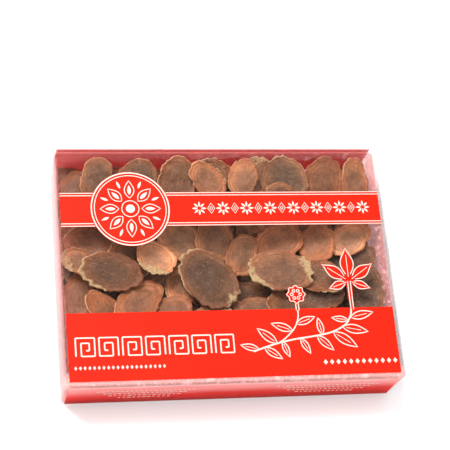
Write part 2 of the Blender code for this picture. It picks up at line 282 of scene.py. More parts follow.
def see_through(name, tint, body, haze, gloss, roughness, creases, gathered=0.0, front_painted_light=0.0):
    """Clear sheet: what is behind it shows, tinted, under a gloss that grows at the edges.

    Film is gathered towards the right-hand wall, with painted glints on its creases, and pressed
    flat at the front, where it is painted paler pink as painted light against the print's shade.
    """
    material, tree = new_tree(name)
    scuffs = cloud(tree, 90, 4)
    folds = (cloud(tree, 170, 4, roughness=0.6) - 0.5).math("ABSOLUTE") * 5
    normal = relief(tree, folds, creases, 0.5 * MM)
    weight = node(tree, "ShaderNodeLayerWeight", {"Blend": 0.35, "Normal": normal})
    cover = haze + scuffs * haze * 0.5 + weight.other("Facing") ** 3 * gloss
    if gathered or front_painted_light:
        x, y, z = object_place(tree).parts()
        # Painted glints: pale patches on the creases that stand in for highlights
        painted_glints = folds.step(0.15, 0.9)
        side = x.step(*FILM_SIDE) * (1 - y.step(*FILM_BACK) * 0.8) * gathered
        # Painted light at the front: pressed film, paler pink where the print above shades it
        front = (1 - y.step(*FILM_FRONT)) * front_painted_light
        spread = (painted_glints * side).math("MAXIMUM", front * (painted_glints * 0.5 + 0.5))
        cover = cover + z.step(*FILM_HEIGHT) * spread
        body = blend(tree, front.step(0, 0.5), body, FRONT_FILM_PAINTED_LIGHT)
    clear = node(tree, "ShaderNodeBsdfTransparent", {"Color": tint})
    sheet = principled(tree, Base_Color=body, Roughness=scuffs * 0.1 + roughness,
                       IOR=1.45, Normal=normal)
    show(tree, node(tree, "ShaderNodeMixShader", {0: cover, 1: clear, 2: sheet}))
    return material


pink_sheet = see_through("pink_tray_sheet", tint=(1, 0.9, 0.89, 1), body=(0.85, 0.38, 0.36, 1),
                         haze=0.18, gloss=0.3, roughness=0.25, creases=0.04)
add_piece("pink_tray", merged_copy("pink_tray", "tray"), pink_sheet, "tray_pink", "tray")

# The bag: thin clear film crumpled round the slices, up the tray's walls and a little way
# in over the slices' edge. It shows by the glints on its creases.
FILM_THICKNESS = 0.05 * MM
FLAP_REACH = (3.0 * MM, 6.5 * MM)
CREASE_DEPTH = 0.75 * MM
FLOOR_CREASE_DEPTH = 0.12 * MM
FLAP_CREASE_DEPTH = 0.9 * MM
COARSE_CREASES, FINE_CREASES = 5.0, 2.1
BAG_HEIGHT = 29 * MM
BAG_CORNER = 3 * MM
CORNER_STEPS = 4
FILM_STEP = 0.9 * MM
FILM_ROWS = (("floor", 24), ("wall", 26), ("flap", 7))


def heading(degrees):
    """The direction at an angle, and the one to the right of it."""
    along = Vector((math.cos(math.radians(degrees)), math.sin(math.radians(degrees))))
    return along, Vector((along.y, -along.x))


def rounded_path(half_x, half_y, radius, step):
    """Points round a rectangle with round corners, and the way outwards at each."""
    points, outwards = [], []
    corners = ((1, 1, 0), (-1, 1, 90), (-1, -1, 180), (1, -1, 270))
    for index, (side_x, side_y, start) in enumerate(corners):
        middle = Vector((side_x * (half_x - radius), side_y * (half_y - radius)))
        for i in range(CORNER_STEPS + 1):
            outward = heading(start + 90 / CORNER_STEPS * i)[0]
            points.append(middle + outward * radius)
            outwards.append(outward)
        run = 2 * (half_x if index % 2 == 0 else half_y) - 2 * radius
        count = int(run / step)
        along = Vector((-outwards[-1].y, outwards[-1].x))
        last = points[-1]
        for i in range(1, count):
            points.append(last + along * run * i / count)
            outwards.append(outwards[-1])
    return points, outwards


def crumple(x, y, z):
    """Depth of a crease at a place, from 0 to 1, with sharp ridges."""
    place = Vector((x, y, z)) / MM
    coarse = abs(noise.noise(place / COARSE_CREASES)) * 2.2
    fine = abs(noise.noise(place / FINE_CREASES + Vector((7, 3, 5)))) * 1.6
    return min(1.0, 0.6 * coarse + 0.4 * fine)


def rings_mesh(name, rings):
    """A skin over rings of points. A first or last ring of one point closes that end."""
    points, faces, before = [], [], []
    for ring in rings:
        now = range(len(points), len(points) + len(ring))
        points += [tuple(point) for point in ring]
        sides = max(len(now), len(before))
        for i in range(sides if before else 0):
            j = (i + 1) % sides
            corners = (before[i % len(before)], now[i % len(now)],
                       now[j % len(now)], before[j % len(before)])
            faces.append(tuple(dict.fromkeys(corners)))
        before = now
    mesh = bpy.data.meshes.new(name)
    mesh.from_pydata(points, [], faces)
    return mesh


def film_mesh():
    """The bag as rings from the middle of its floor out, up its walls and in at its top."""
    low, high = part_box("film_bag")
    path, outwards = rounded_path(high.x, high.y, BAG_CORNER, FILM_STEP)
    floor, top = low.z + 0.05 * MM, high.z - 0.2 * MM
    rows = [(kind, row / count) for kind, count in FILM_ROWS for row in range(1, count + 1)]
    rings = [[(0, 0, floor)]]
    for kind, share in rows:
        ring = []
        for point, outward in zip(path, outwards):
            crease = crumple(point.x, point.y, share * BAG_HEIGHT if kind == "wall" else 0.0)
            if kind == "floor":
                x, y = point * share
                z = floor + crumple(x, y, 0.0) * FLOOR_CREASE_DEPTH
            elif kind == "wall":
                x, y = point - outward * crease * CREASE_DEPTH
                z = floor + (top - floor) * share
            else:
                least, most = FLAP_REACH
                reach = least + (most - least) * crumple(point.x / 3, point.y / 3, 1)
                x, y = point - outward * (crease * CREASE_DEPTH * (1 - share) + reach * share)
                z = top - crumple(x, y, top) * FLAP_CREASE_DEPTH * min(1, 2 * share)
            ring.append((x, y, z))
        rings.append(ring)
    return rings_mesh("film_bag_crumpled", rings)


# The film's pink body colour is a painted reflection of the red print; the film itself is clear
clear_film = see_through("crumpled_film", tint=(1, 0.96, 0.96, 1), body=(0.88, 0.5, 0.47, 1),
                         haze=0.01, gloss=0.5, roughness=0.06, creases=0.7,
                         gathered=0.3, front_painted_light=1.0)
bag = add_piece("crumpled_bag", film_mesh(), clear_film, "film_clear", "film_bag")
film_wall = bag.modifiers.new("Film", "SOLIDIFY")
film_wall.thickness = FILM_THICKNESS
film_wall.offset = 0

# The upper slices: cross cuts of the dried root, cupped and waved, each with its skin
# round the edge, a ring inside it, and crusts of bark where the skin came away.
SLICE_THICKNESS = 1.6 * MM
OUTLINE_ORDER = 5
SLICE_SIDES = 112
FACE_RINGS = 15
RIM_START = 0.93
RIM_RINGS = 6
LIP_HEIGHT = 0.3 * MM
RING_AT = 0.76
RING_DEPTH = 0.14 * MM
NICK_PITCH = 5.3
NICK_DEPTH = 0.13
RIPPLES = (6, 7, 9, 13, 17, 23, 31)
RIPPLE_SIZE = 0.15
SWELL, SWELL_PITCH = 0.6 * MM, 7 * MM
ROUGHNESS, ROUGH_PITCH = 0.09 * MM, 1.6 * MM
FINE_PITCH = 0.7 * MM
CRUST_HEIGHT = 0.7 * MM
SLICE_COUNT = 47
SHADE_SEED = 900
# Slices by look: greyer or redder than the rest; and painted light and shade, a brightness for each
# slice that stands in for the light or shade it lies in
GREY_TONE, PLAIN_TONE, RED_TONE = 0.1, 0.5, 0.95
GREY_SLICES = {10, 12, 18, 24, 25, 29, 33, 35, 43}
RED_SLICES = {11, 13, 17, 19, 21, 27, 36, 37, 40, 41, 44}
SLICE_PAINTED_LIGHT = 0.92
SLICES_BY_PAINTED_LIGHT = {0.56: (10, 12, 18, 43, 45), 1.35: (20, 23, 28, 30, 31, 34, 36, 38),
                   1.6: (37, 39), 2.1: (46,), 2.7: (33, 35)}
PAINTED_LIGHT_BY_SLICE = {number: light for light, numbers in SLICES_BY_PAINTED_LIGHT.items() for number in numbers}
# Crusts of bark: slice, middle and half spread in degrees round it, depth as a share
CRUSTS = ((45, 205, 55, 0.16), (46, 250, 60, 0.5), (47, 200, 50, 0.2), (47, 5, 35, 0.3),
          (43, -40, 22, 0.22), (20, 190, 60, 0.6), (23, 85, 45, 0.35), (22, 120, 50, 0.16),
          (40, -30, 25, 0.14), (29, 100, 40, 0.08), (42, -60, 40, 0.12), (16, 60, 60, 0.2),
          (43, 150, 45, 0.07), (39, 180, 50, 0.07), (30, 20, 40, 0.1), (12, 120, 40, 0.06))


def waves(angle):
    """Cosines and sines round the slice, for fitting and drawing its outline."""
    turns = [wave(n * angle) for n in range(1, OUTLINE_ORDER + 1) for wave in (np.cos, np.sin)]
    return np.array([np.ones_like(angle), *turns]).T


def bend_terms(x, y, angle, share):
    """What a slice's middle layer is made of: a plane, a cup and a wave."""
    dish = share ** 2
    waved = [dish * np.cos(2 * angle), dish * np.sin(2 * angle)]
    return np.array([np.ones_like(x), x, y, dish, *waved]).T


class Slice:
    """Place, outline and bend of a slice, and how finely its skin is drawn."""

    def __init__(self, middle, axes, outline, bend, sides=SLICE_SIDES, face_rings=FACE_RINGS):
        self.middle, self.axes = middle, axes
        self.outline, self.bend = outline, bend
        self.sides, self.face_rings = sides, face_rings

    def world_angle(self, angle):
        """The compass angle of a direction in the slice's plane."""
        flat = np.cos(angle)[:, None] * self.axes[0] + np.sin(angle)[:, None] * self.axes[1]
        return np.degrees(np.arctan2(flat[:, 1], flat[:, 0]))


def fitted_slice(cad_node):
    """The place, outline and bend of a CAD slice, fitted to its corners."""
    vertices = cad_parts[cad_node].data.vertices
    corners = np.unique(np.round([v.co for v in vertices], 6), axis=0)
    middle = corners.mean(0)
    spread = np.linalg.eigh(np.cov((corners - middle).T))[1]
    up = spread[:, 0] * math.copysign(1, spread[2, 0])
    axes = np.array([spread[:, 2], np.cross(up, spread[:, 2]), up])
    x, y, height = ((corners - middle) @ axes.T).T
    angle, reach = np.arctan2(y, x), np.hypot(x, y)
    outer = np.hypot(x / x.max(), y / y.max()) > 0.78
    outline = np.linalg.lstsq(waves(angle[outer]), reach[outer], rcond=None)[0]
    share = reach / (waves(angle) @ outline)
    bend = np.linalg.lstsq(bend_terms(x, y, angle, share), height, rcond=None)[0]
    return Slice(middle, axes, outline, bend)


def crust_weight(crusts, degrees, share, seed):
    """How much of the place is bark, from 0 to 1, with a broken edge."""
    weight = np.zeros_like(share)
    for middle, spread, depth in crusts:
        away = np.abs((degrees - middle + 180) % 360 - 180) / spread
        torn = np.array([noise.noise(Vector((d / 9, s * 9, seed))) for d, s in zip(degrees, share)])
        edge = 1 - depth * (1 - np.minimum(away, 1) ** 2) * (1 + 0.9 * torn)
        weight = np.maximum(weight, np.clip((share - edge) / 0.05, 0, 1) * (away < 1))
    return weight


def profile(face_rings, rim_rings):
    """Share of the way out and height over the middle layer, from pith to rim to pith."""
    face = [(RIM_START * (k / face_rings) ** 0.85, 1.0) for k in range(1, face_rings + 1)]
    turns = [math.pi / 2 - math.pi * k / (rim_rings + 1) for k in range(1, rim_rings + 1)]
    rim = [(RIM_START + (1 - RIM_START) * math.cos(t), math.sin(t)) for t in turns]
    return face + rim + [(share, -height) for share, height in reversed(face)]


def set_attribute(mesh, name, kind, values):
    """Store values on a mesh's points."""
    attribute = mesh.attributes.new(name, kind, "POINT")
    key = "vector" if kind == "FLOAT_VECTOR" else "value"
    attribute.data.foreach_set(key, np.asarray(values, np.float32).ravel())


def slice_mesh(name, shape, crusts, seed):
    """A slice's skin with its relief, and what its finish needs to know at each point."""
    draw = random.Random(seed)
    angle = np.linspace(0, math.tau, shape.sides, endpoint=False)
    degrees = shape.world_angle(angle)
    lip = LIP_HEIGHT * draw.uniform(0.2, 2.2)
    shift = Vector((draw.uniform(0, 90), draw.uniform(0, 90), draw.uniform(0, 90)))
    ripple = [(n, draw.uniform(0.3, 1) * RIPPLE_SIZE / n, draw.uniform(0, math.tau))
              for n in RIPPLES]
    wobble = 1 + sum(size * np.cos(n * angle + start) for n, size, start in ripple)
    round_it = NICK_PITCH * np.array([np.cos(angle), np.sin(angle)]).T
    nicks = [noise.noise(Vector((a, b, seed))) for a, b in round_it]
    wobble -= NICK_DEPTH * np.clip(nicks, 0, 1)
    reach = waves(angle) @ shape.outline
    rings, shares, barks, flats = [], [], [], []
    steps = profile(shape.face_rings, min(RIM_RINGS, shape.face_rings))
    for share, side in [(0.0, 1.0), *steps, (0.0, -1.0)]:
        ring_angle = angle if share > 0 else angle[:1]
        ring_share = np.full_like(ring_angle, share)
        count = len(ring_angle)
        bark = crust_weight(crusts, degrees[:count], ring_share, seed)
        out = reach[:count] * share * (1 + (wobble[:count] - 1) * share ** 4)
        x, y = out * np.cos(ring_angle), out * np.sin(ring_angle)
        rough, fine, swell = (
            np.array([noise.noise(Vector((a, b, 0)) / pitch + shift) for a, b in zip(x, y)])
            for pitch in (ROUGH_PITCH, FINE_PITCH, SWELL_PITCH))
        height = bend_terms(x, y, ring_angle, ring_share) @ shape.bend
        relief_here = swell * SWELL + rough * ROUGHNESS * (0.3 + share)
        relief_here += lip * np.clip((ring_share - 0.8) / 0.15, 0, 1) ** 2
        relief_here -= RING_DEPTH * np.exp(-((ring_share - RING_AT) / 0.035) ** 2) * np.sign(side)
        relief_here += bark * (0.25 + 0.9 * rough + 0.5 * fine) * CRUST_HEIGHT
        height = height + side * SLICE_THICKNESS / 2 + relief_here
        stretch = 1 + bark * (0.3 * rough + 0.1) * 0.25
        local = np.array([x * stretch, y * stretch, height]).T
        rings.append(shape.middle + local @ shape.axes)
        shares += list(ring_share)
        barks += list(bark)
        flats += [(a / MM, b / MM, seed * 7.3) for a, b in zip(x, y)]
    mesh = rings_mesh(name, rings)
    mesh.shade_smooth()
    set_attribute(mesh, "share", "FLOAT", shares)
    set_attribute(mesh, "bark", "FLOAT", barks)
    set_attribute(mesh, "flat", "FLOAT_VECTOR", flats)
    return mesh


def vector_of(tree, x, y, z):
    """Three numbers as a vector."""
    return node(tree, "ShaderNodeCombineXYZ", {0: x, 1: y, 2: z})


# Colours from the pith out. The first two have a greyer and a redder end.
HEART = ((0.122, 0.061, 0.034, 1), (0.182, 0.07, 0.033, 1))
FLESH = ((0.245, 0.104, 0.048, 1), (0.3, 0.094, 0.035, 1))
DARK_RING, PALE_RING = (0.085, 0.036, 0.022, 1), (0.4, 0.23, 0.13, 1)
BORDER, SKIN = (0.2, 0.06, 0.026, 1), (0.6, 0.36, 0.21, 1)
# The streak colour is a painted highlight for the sheen on the cut face
SHEEN_STREAK, SPECK = (0.42, 0.26, 0.17, 1), (0.5, 0.36, 0.25, 1)
DARK_BARK, PALE_BARK = (0.22, 0.1, 0.042, 1), (0.78, 0.55, 0.29, 1)


def dried_root():
    """The cut face, its rings, the redder flesh outside them, the pale skin and the bark, with
    painted sheen streaks and each slice's painted light and shade.
    """
    material, tree = new_tree("dried_root")
    share, bark, tone, light = (
        node(tree, "ShaderNodeAttribute", attribute_name=name).other("Fac")
        for name in ("share", "bark", "tone", "light"))
    flat = node(tree, "ShaderNodeAttribute", attribute_name="flat").other("Vector")
    outwards = node(tree, "ShaderNodeVectorMath", {0: flat}, operation="NORMALIZE")
    patches = cloud(tree, 0.16, 3, flat)
    mottle = cloud(tree, 0.5, 5, flat, 0.6)
    grain = cloud(tree, 3.2, 4, flat, 0.7)
    rays = cloud(tree, 9, 4, outwards, 0.65)
    drift = cloud(tree, 0.07, 1, flat)
    x, y, z = flat.parts()
    combed = cloud(tree, 1.0, 4, vector_of(tree, x * 0.25 + z, y * 1.3, 0.0), 0.65)
    edge = share + (drift - 0.5) * 0.9 + (patches - 0.5) * 0.2 + (mottle - 0.5) * 0.12
    heart, flesh = blend(tree, tone, *HEART), blend(tree, tone, *FLESH)
    colour = blend(tree, edge.step(0.35, 1.0), heart, flesh)
    near = share + (mottle - 0.5) * 0.1 + (patches - 0.5) * 0.12
    inner_ring = near.line(RING_AT, 0.035) * patches.step(0.35, 0.6) * 0.6
    colour = blend(tree, inner_ring, colour, DARK_RING)
    outer_ring = near.line(RING_AT + 0.09, 0.03) * patches.step(0.45, 0.65) * 0.35
    colour = blend(tree, outer_ring, colour, PALE_RING)
    fine_rings = cloud(tree, 1, 2, vector_of(tree, share * 22, tone * 9, 0.0))
    mottling = 0.18 + mottle * 0.8 + patches * 0.88 + (fine_rings - 0.5) * 0.6
    mottling = mottling + (rays - 0.5) * share * 0.9 + (combed - 0.5) * 0.7
    # Painted light and shade: the light attribute makes each slice darker or paler as a whole
    mottling_and_painted_light = mottling * light
    grey = node(tree, "ShaderNodeCombineColor", {0: mottling_and_painted_light, 1: mottling_and_painted_light, 2: mottling_and_painted_light})
    colour = blend(tree, 1.0, colour, grey, "MULTIPLY")
    border = (share + (mottle - 0.5) * 0.12).line(0.92, 0.08) * 0.5
    skin = (share + (mottle - 0.5) * 0.07).step(0.96, 0.995) * rays.step(0.42, 0.6) * 0.75
    # Pale knife-mark arcs, made paler than the flesh: marks on the cut face, and a painted
    # highlight for its sheen
    streaks = combed.step(0.56, 0.66) * mottle.step(0.4, 0.6) * 0.32
    specks = cloud(tree, 1.7, 1, flat).step(0.7, 0.74) * 0.15
    crust = blend(tree, grain.step(0.3, 0.7), DARK_BARK, PALE_BARK)
    for cover, paint in ((border, BORDER), (skin, SKIN), (streaks, SHEEN_STREAK), (specks, SPECK),
                         (bark, crust)):
        colour = blend(tree, cover, colour, paint)
    height = grain * 0.2 + rays * share * 0.8 + fine_rings * 0.5 + combed * 0.8
    height = height + mottle * 0.8 + patches * 2 + bark * grain * 2
    normal = relief(tree, height, 0.9, 0.5 * MM)
    rough = 0.3 + mottle * 0.25 + bark * 0.3
    show(tree, principled(tree, Base_Color=colour, Roughness=rough, Specular_IOR_Level=0.13,
                          Normal=normal, Coat_Weight=0.035, Coat_Roughness=0.2))
    return material


root_finish = dried_root()
for number in range(1, SLICE_COUNT + 1):
    cad_name = f"slice_{number:02d}"
    pick = random.Random(SHADE_SEED + number)
    tone = GREY_TONE if number in GREY_SLICES else RED_TONE if number in RED_SLICES else PLAIN_TONE
    # Painted light and shade for this slice, kept in its light attribute
    light = PAINTED_LIGHT_BY_SLICE.get(number, SLICE_PAINTED_LIGHT)
    crusts = [crust[1:] for crust in CRUSTS if crust[0] == number]
    mesh = slice_mesh(f"root_{cad_name}", fitted_slice(cad_name), crusts, number)
    points = len(mesh.vertices)
    set_attribute(mesh, "tone", "FLOAT", [tone + pick.uniform(-0.1, 0.1)] * points)
    set_attribute(mesh, "light", "FLOAT", [light * pick.uniform(0.9, 1.1)] * points)
    add_piece(mesh.name, mesh, root_finish, "dried_root", cad_name)

# The lower slices: the rest of the heap, the same cross cuts loose in layers down to the
# bag's floor. They lie under the CAD heap's surface, thickest along the bag's walls.
LOOSE_KINDS = 8
LOOSE_SIDES = 14
LOOSE_FACE_RINGS = 1
LOOSE_RADIUS = 10.6 * MM
HEAP_COLUMNS, HEAP_ROWS, HEAP_LAYERS = 11, 8, 8
WALL_BAND = 17 * MM
HEAP_JITTER = 4.5 * MM
PRESS = 4 * MM
WALL_PLAY = 0.8 * MM
MOST_SWAY = 0.22
LEVEL_PLAY = 0.4 * MM
RAY_START = 100 * MM
LOOSE_SCALES = (0.78, 1.08)
# Lower slices: a random tone, and painted shade that makes them darker than the upper slices where
# they show in the gaps
LOOSE_TONES, LOOSE_PAINTED_SHADE = (0.2, 1.0), (0.35, 0.95)
HEAP_SEED = 11


def loose_slice(seed):
    """A slice for the heap, round the origin."""
    draw = random.Random(seed)
    outline = np.zeros(2 * OUTLINE_ORDER + 1)
    outline[0] = LOOSE_RADIUS
    outline[3] = LOOSE_RADIUS * draw.uniform(0.1, 0.18)
    outline[5:9] = [LOOSE_RADIUS * draw.uniform(-0.03, 0.03) for _ in range(4)]
    cup = draw.uniform(-0.6, 1.4)
    bend = np.array([0, 0, 0, cup, draw.uniform(-0.8, 0.8), draw.uniform(-0.8, 0.8)]) * MM
    return Slice(np.zeros(3), np.eye(3), outline, bend, LOOSE_SIDES, LOOSE_FACE_RINGS)


def new_growth(name, inputs):
    """A Geometry Nodes tree with its named inputs, and a wire from each."""
    tree = bpy.data.node_groups.new(name, "GeometryNodeTree")
    tree.interface.new_socket("Geometry", in_out="OUTPUT", socket_type="NodeSocketGeometry")
    tree.interface.new_socket("Geometry", in_out="INPUT", socket_type="NodeSocketGeometry")
    for label, kind in inputs.items():
        tree.interface.new_socket(label, in_out="INPUT", socket_type=f"NodeSocket{kind}")
    given = tree.nodes.new("NodeGroupInput")
    return tree, {label: Wire(tree, given.outputs[label]) for label in ("Geometry", *inputs)}


def end_growth(tree, geometry, material):
    """Close a tree: real meshes with their material."""
    real = node(tree, "GeometryNodeRealizeInstances", {"Geometry": geometry})
    painted = node(tree, "GeometryNodeSetMaterial", {"Geometry": real, "Material": material})
    end = tree.nodes.new("NodeGroupOutput")
    tree.links.new(painted.socket, end.inputs["Geometry"])


def grown(name, tree, values, start=None):
    """The mesh a tree makes from a start mesh and the values of its inputs."""
    holder = stand(name, start or bpy.data.meshes.new(name))
    modifier = holder.modifiers.new(name, "NODES")
    modifier.node_group = tree
    for item in tree.interface.items_tree:
        if item.in_out == "INPUT" and item.name in values:
            modifier[item.identifier] = values[item.name]
    depsgraph = bpy.context.evaluated_depsgraph_get()
    mesh = bpy.data.meshes.new_from_object(holder.evaluated_get(depsgraph))
    mesh.name = name
    holder.modifiers.clear()
    bpy.data.objects.remove(holder)
    return mesh


def draw_value(tree, low, high, seed, kind="FLOAT"):
    """A seeded random value for each element, a number or a vector."""
    first = 0 if kind == "FLOAT_VECTOR" else 2
    inputs = {first: low, first + 1: high, "Seed": seed}
    return node(tree, "FunctionNodeRandomValue", inputs, first // 2, data_type=kind)


def pressed(value, limit, soft):
    """Keep a coordinate inside a limit, giving way softly before it."""
    size = value.math("ABSOLUTE")
    start = limit - soft
    beyond = (size - start).math("MAXIMUM", 0.0)
    kept = size.math("MINIMUM", start) + soft * (1 - (beyond / soft * -1).math("EXPONENT"))
    return kept * value.math("SIGN")


def heap_points(tree, given):
    """Places in layers, all of them near the walls and only the lowest and topmost inside."""
    band, layers = given["Wall band"], given["Layers"]
    grid = node(tree, "GeometryNodeMeshGrid",
                {"Size X": given["Length"] - band * 1.1, "Size Y": given["Depth"] - band * 1.1,
                 "Vertices X": given["Columns"], "Vertices Y": given["Rows"]})
    stack = node(tree, "GeometryNodeDuplicateElements",
                 {"Geometry": grid, "Amount": layers}, domain="POINT")
    layer = stack.other("Duplicate Index")
    x, y, _ = node(tree, "GeometryNodeInputPosition").parts()
    inside_x = x.math("ABSOLUTE").math("LESS_THAN", given["Length"] / 2 - band)
    inside_y = y.math("ABSOLUTE").math("LESS_THAN", given["Depth"] / 2 - band)
    hidden = layer.math("GREATER_THAN", 0.5) * layer.math("LESS_THAN", layers - 2.5)
    outer = node(tree, "GeometryNodeDeleteGeometry",
                 {"Geometry": stack, "Selection": inside_x * inside_y * hidden}, domain="POINT")
    jitter = given["Jitter"]
    shift = draw_value(tree, vector_of(tree, jitter * -1, jitter * -1, 0.0),
                       vector_of(tree, jitter, jitter, 0.0), given["Seed"], "FLOAT_VECTOR")
    spread = node(tree, "GeometryNodeSetPosition", {"Geometry": outer, "Offset": shift})
    return spread, layer / (layers - 1)


def heap_lean(tree, seed, tilt_x, tilt_y, share):
    """Each slice's turn: a sway, the heap's own slope near its top, and a free spin."""
    sway = draw_value(tree, (-MOST_SWAY, -MOST_SWAY, 0.0), (MOST_SWAY, MOST_SWAY, 0.0),
                      seed + 2, "FLOAT_VECTOR")
    sway_x, sway_y, _ = sway.parts()
    up = vector_of(tree, tilt_x * 0.4 * share + sway_x, tilt_y * 0.4 * share + sway_y, 1.0)
    lean = node(tree, "FunctionNodeAlignRotationToVector", {"Vector": up}, axis="Z")
    spin = node(tree, "FunctionNodeAxisAngleToRotation",
                {"Axis": (0.0, 0.0, 1.0), "Angle": draw_value(tree, 0.0, math.tau, seed + 3)})
    return node(tree, "FunctionNodeRotateRotation",
                {"Rotation": lean, "Rotate By": spin}, rotation_space="LOCAL")


def heap_tree():
    """Slices in layers between the floor and a heap's surface, kept inside the walls."""
    numbers = ("Length", "Depth", "Floor", "Thickness", "Jitter", "Wall band", "Press")
    counts = ("Columns", "Rows", "Layers", "Seed")
    inputs = {"Heap": "Object", "Slices": "Collection", "Material": "Material"}
    inputs.update({name: "Float" for name in numbers} | {name: "Int" for name in counts})
    tree, given = new_growth("heap_of_slices", inputs)
    seed, soft = given["Seed"], given["Press"]
    points, share = heap_points(tree, given)
    x, y, z = node(tree, "GeometryNodeInputPosition").parts()
    heap = node(tree, "GeometryNodeObjectInfo", {"Object": given["Heap"]}).other("Geometry")
    ray = node(tree, "GeometryNodeRaycast",
               {"Target Geometry": heap, "Source Position": vector_of(tree, x, y, RAY_START),
                "Ray Direction": (0.0, 0.0, -1.0)})
    surface = ray.other("Hit Position").parts()[2]
    tilt_x, tilt_y, _ = ray.other("Hit Normal").parts()
    floor = given["Floor"] + given["Thickness"]
    top = (surface - given["Thickness"] * 0.5).math("MAXIMUM", floor)
    unevenness = draw_value(tree, -LEVEL_PLAY, LEVEL_PLAY, seed + 1) * (1 - share)
    level = floor + (top - floor) * share + unevenness
    placed = node(tree, "GeometryNodeSetPosition",
                  {"Geometry": points, "Position": vector_of(tree, x, y, level)})
    choice = {"Collection": given["Slices"], "Separate Children": True, "Reset Children": True}
    slices = node(tree, "GeometryNodeCollectionInfo", choice)
    laid = node(tree, "GeometryNodeInstanceOnPoints",
                {"Points": placed, "Instance": slices, "Pick Instance": True,
                 "Instance Index": draw_value(tree, 0.0, 99.0, seed + 4),
                 "Rotation": heap_lean(tree, seed, tilt_x, tilt_y, share),
                 "Scale": draw_value(tree, *LOOSE_SCALES, seed + 5)})
    # A random tone, and the light attribute as painted shade on the lower slices
    for name, (low, high) in (("tone", LOOSE_TONES), ("light", LOOSE_PAINTED_SHADE)):
        store = {"Geometry": laid, "Name": name, "Value": draw_value(tree, low, high, seed + 6)}
        laid = node(tree, "GeometryNodeStoreNamedAttribute", store, data_type="FLOAT",
                    domain="INSTANCE")
    real = node(tree, "GeometryNodeRealizeInstances", {"Geometry": laid})
    low_level = given["Floor"] + (z - given["Floor"]).math("MAXIMUM", 0.0)
    inside = vector_of(tree, pressed(x, given["Length"] / 2, soft),
                       pressed(y, given["Depth"] / 2, soft), low_level)
    kept = node(tree, "GeometryNodeSetPosition", {"Geometry": real, "Position": inside})
    end_growth(tree, kept, given["Material"])
    return tree


loose_kinds = bpy.data.collections.new("loose_kinds")
for kind in range(LOOSE_KINDS):
    crusts = [(40 * kind, 50, 0.25)] if kind % 3 == 0 else []
    mesh = slice_mesh(f"loose_{kind}", loose_slice(kind), crusts, 60 + kind)
    loose_kinds.objects.link(bpy.data.objects.new(mesh.name, mesh))
bag_low, bag_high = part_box("film_bag")
heap_values = {
    "Heap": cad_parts["lower_slices"], "Slices": loose_kinds, "Material": root_finish,
    "Length": bag_high.x - bag_low.x - 2 * WALL_PLAY,
    "Depth": bag_high.y - bag_low.y - 2 * WALL_PLAY,
    "Floor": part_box("lower_slices")[0].z, "Thickness": SLICE_THICKNESS, "Jitter": HEAP_JITTER,
    "Wall band": WALL_BAND, "Press": PRESS, "Columns": HEAP_COLUMNS, "Rows": HEAP_ROWS,
    "Layers": HEAP_LAYERS, "Seed": HEAP_SEED,
}
heap = grown("loose_slices", heap_tree(), heap_values)
heap.shade_smooth()
add_piece("loose_slices", heap, root_finish, "dried_root", "lower_slices")

# The lid: stiff clear sheet, pressed in one piece, which comes down to the table all round.
# Its sheet also takes the front's painted light and painted glints, at a lower share, where the
# film presses against its bend
lid_sheet = see_through("clear_lid_sheet", tint=(0.99, 0.99, 0.99, 1), body=(0.36, 0.37, 0.38, 1),
                        haze=0.003, gloss=0.9, roughness=0.05, creases=0.1, front_painted_light=0.55)
add_piece("clear_lid", merged_copy("clear_lid", "lid"), lid_sheet, "lid_clear", "lid")

# The red print on the lid: two bands with the badge, the leaf and the berries, and a plain
# field on the front and the back wall, screen printed straight onto the clear sheet. The walls'
# field carries painted light and shade.
PRINT_GAP = 0.02 * MM
PRINT_THICKNESS = 0.1 * MM
PRINT_HEIGHT = 28.6 * MM
WALL_INK_COVER = 0.62


def print_mesh(name, cad_node, axis):
    """A CAD label pressed down to a layer of print on the lid, along one axis."""
    mesh = merged_copy(name, cad_node)
    sheet = max(abs(corner[axis]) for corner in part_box("lid"))
    middle = sum(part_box(cad_node), Vector())[axis] / 2
    near, far = sheet + PRINT_GAP, sheet + PRINT_GAP + PRINT_THICKNESS
    for vertex in mesh.vertices:
        reach = far if abs(vertex.co[axis]) > abs(middle) else near
        vertex.co[axis] = math.copysign(reach, middle)
    return mesh


def red_print():
    """Solid red ink with faint darker and lighter waves: painted shading of the bending sheet."""
    material, tree = new_tree("red_print")
    # Painted shading: faint darker and lighter waves from the sheet's bend, also used for roughness
    bend_shading = cloud(tree, 30, 3)
    colour = blend(tree, bend_shading, (0.56, 0.009, 0.002, 1), (0.64, 0.014, 0.003, 1))
    normal = relief(tree, cloud(tree, 60, 2), 0.03, 0.2 * MM)
    show(tree, principled(tree, Base_Color=colour, Roughness=0.4 + bend_shading * 0.1, IOR=1.25,
                          Specular_IOR_Level=0.2, Normal=normal))
    return material


def wall_print(name, foot, middle):
    """The walls' red, a see-through ink, with painted light and shade: dark at the foot and paler
    towards the top, where the lit film behind it shows.
    """
    material, tree = new_tree(name)
    x, _, z = object_place(tree).parts()
    streaks = cloud(tree, 1.0, 3, vector_of(tree, x * 18, 0.0, z * 110))
    # Painted light and shade: darker red at the foot, paler pink towards the top
    height = z / PRINT_HEIGHT + (streaks - 0.5) * 0.35
    colour = blend(tree, height.step(0.0, 0.4), foot, middle)
    colour = blend(tree, height.step(0.35, 0.9), colour, (1, 0.4, 0.38, 1))
    colour = blend(tree, height.step(0.85, 1.05), colour, (1, 0.72, 0.7, 1))
    tint = node(tree, "ShaderNodeBsdfTransparent", {"Color": (1, 0.2, 0.16, 1)})
    ink = principled(tree, Base_Color=colour, Roughness=0.4, IOR=1.25, Specular_IOR_Level=0.3)
    show(tree, node(tree, "ShaderNodeMixShader", {0: WALL_INK_COVER, 1: tint, 2: ink}))
    return material


